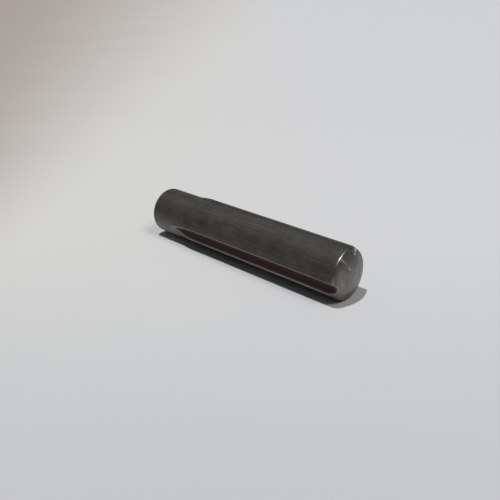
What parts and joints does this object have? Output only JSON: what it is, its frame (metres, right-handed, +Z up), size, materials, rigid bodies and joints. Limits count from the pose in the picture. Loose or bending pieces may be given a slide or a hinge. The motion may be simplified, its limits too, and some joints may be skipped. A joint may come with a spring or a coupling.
{
  "type": "groove pin",
  "caption": "Round steel groove pin with swaged lengthwise grooves, raised lips, a plain chamfered pilot end and a crowned driven end.",
  "frame": {"origin": "centre of the bottom of the box, on the surface the pin lies on", "axes": "+X along the pin from its pilot end to its crowned end, +Z up"},
  "size_m": [0.026, 0.0052, 0.0052],
  "materials": {
    "dark_steel": "dark satin plain steel with fine lengthwise drawing marks"
  },
  "bodies": {
    "root": {"groove_pin": "dark_steel"}
  },
  "joints": []
}
